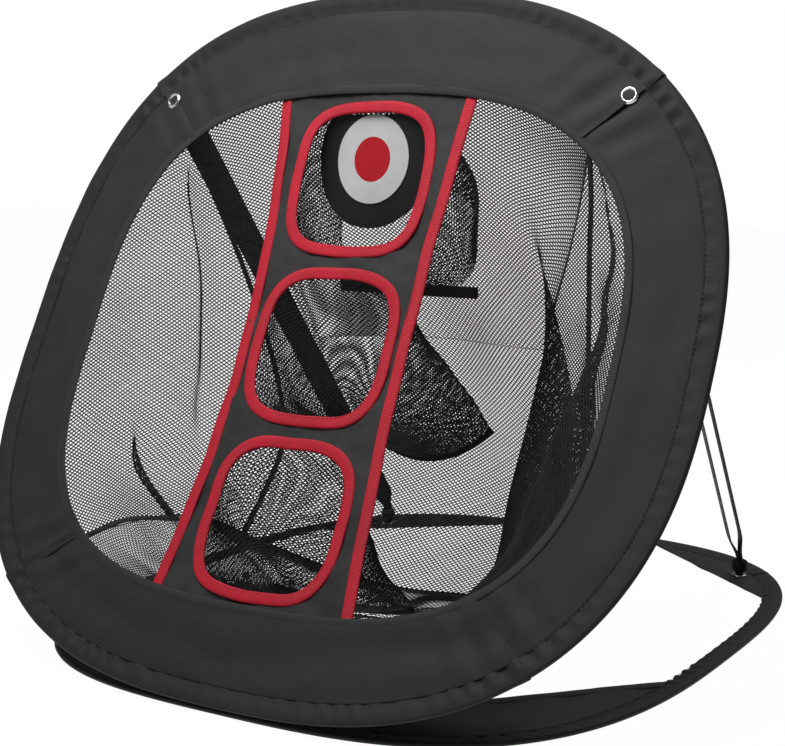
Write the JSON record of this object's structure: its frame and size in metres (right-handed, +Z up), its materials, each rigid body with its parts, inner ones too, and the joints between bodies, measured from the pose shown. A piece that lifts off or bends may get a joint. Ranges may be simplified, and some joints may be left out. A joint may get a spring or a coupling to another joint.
{
  "type": "golf chipping net",
  "caption": "Pop-up golf chipping net: a leaning oval panel with stacked target pockets and a bullseye over a net bag, hinged to a flat base ring and held by webbing straps.",
  "frame": {"origin": "on the ground, under the middle of the front base sleeve, 9 mm behind the sewn hinge", "axes": "+X to the panel's right seen from behind the player's side, +Y back from the player under the leaning panel, +Z up from the ground"},
  "size_m": [0.644, 0.6578, 0.5431],
  "materials": {
    "spring_wire": "drawn",
    "ferrule": "satin",
    "eyelet": "polished",
    "white_print": "flat",
    "red_print": "flat",
    "black_cloth": "woven",
    "webbing": "ribbed",
    "sleeve_cloth": "woven, slight sheen",
    "red_binding": "ribbed tape",
    "net": "knotless mesh",
    "border_cloth": "woven, slight sheen"
  },
  "bodies": {
    "base": {"base_wire": "spring_wire", "base_ferrule": "ferrule", "front_base_sleeve": "sleeve_cloth", "rear_base_sleeve": "sleeve_cloth", "left_base_sleeve": "sleeve_cloth", "right_base_sleeve": "sleeve_cloth", "rear_left_gusset": "border_cloth", "rear_right_gusset": "border_cloth", "front_left_gusset": "border_cloth", "front_right_gusset": "border_cloth", "rear_left_eyelet": "eyelet", "rear_right_eyelet": "eyelet", "hinge_tape": "sleeve_cloth", "left_strap_hitch": "webbing", "right_strap_hitch": "webbing", "left_strap": "webbing", "right_strap": "webbing"},
    "panel": {"panel_wire": "spring_wire", "panel_ferrule": "ferrule", "top_sleeve": "sleeve_cloth", "bottom_sleeve": "sleeve_cloth", "left_sleeve": "sleeve_cloth", "right_sleeve": "sleeve_cloth", "top_border": "border_cloth", "bottom_border": "border_cloth", "left_border": "border_cloth", "right_border": "border_cloth", "window_binding": "sleeve_cloth", "target_strip": "border_cloth", "left_strip_binding": "red_binding", "right_strip_binding": "red_binding", "top_hole_binding": "red_binding", "middle_hole_binding": "red_binding", "bottom_hole_binding": "red_binding", "top_left_eyelet": "eyelet", "top_right_eyelet": "eyelet", "top_pocket": "net", "middle_pocket": "net", "bottom_pocket": "net", "bag_left_net": "net", "bag_right_net": "net", "bag_rear_net": "net", "bag_floor_net": "net", "bag_hem": "sleeve_cloth"},
    "target_flap": {"target_disc": "black_cloth", "target_ring": "white_print", "target_centre": "red_print"}
  },
  "joints": [
    {"name": "panel_fold", "type": "hinge", "parent": "base", "child": "panel", "pos_m": [0, -0.009, 0.0053], "axis": [-1, 0, 0], "range_deg": [0, 54], "stiffness_Nm_per_rad": 1.5, "springref_deg": -57.3, "deforming": ["top_pocket", "middle_pocket", "bottom_pocket", "bag_left_net", "bag_right_net", "bag_rear_net", "bag_floor_net", "bag_hem", "left_strap", "right_strap"]},
    {"name": "flap_swing", "type": "hinge", "parent": "panel", "child": "target_flap", "pos_m": [0, 0.217, 0.4479], "axis": [1, 0, 0], "range_deg": [-18, 20]}
  ]
}
